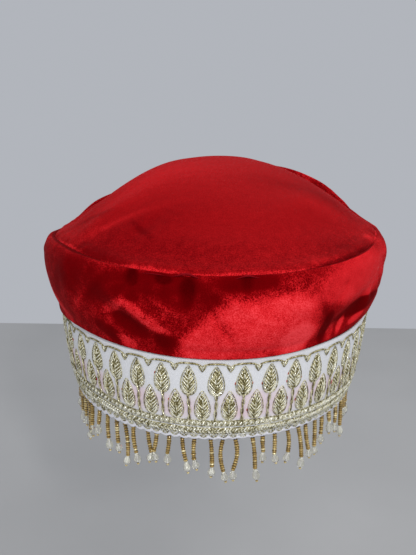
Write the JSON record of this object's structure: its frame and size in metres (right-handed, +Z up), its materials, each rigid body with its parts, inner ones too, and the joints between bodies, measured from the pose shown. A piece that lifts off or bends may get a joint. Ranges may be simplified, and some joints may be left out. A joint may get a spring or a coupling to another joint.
{
  "type": "embroidered velvet cap",
  "caption": "Round soft velvet cap with a domed tip and puffed side, a leaf-embroidered ribbon band edged with gold braid, and a hanging bead fringe round the open head hole.",
  "frame": {"origin": "centre of the head opening, in the plane of the ribbon's lower edge", "axes": "+Z up through the crown, -Y towards the front that the picture shows, +X to the viewer's right"},
  "size_m": [0.2089, 0.2247, 0.1655],
  "materials": {
    "velvet": "shiny red pile velvet with a crushed nap",
    "ribbon": "fine off-white woven ribbon",
    "gold_thread": "pale gold metal thread, braided and embroidered",
    "beads": "glossy bronze-gold seed beads with pearl-white drops"
  },
  "bodies": {
    "root": {"crown_top": "velvet", "crown_side": "velvet", "trim_band": "ribbon", "braid_upper": "gold_thread", "braid_lower": "gold_thread", "bead_fringe": "beads"}
  },
  "joints": []
}
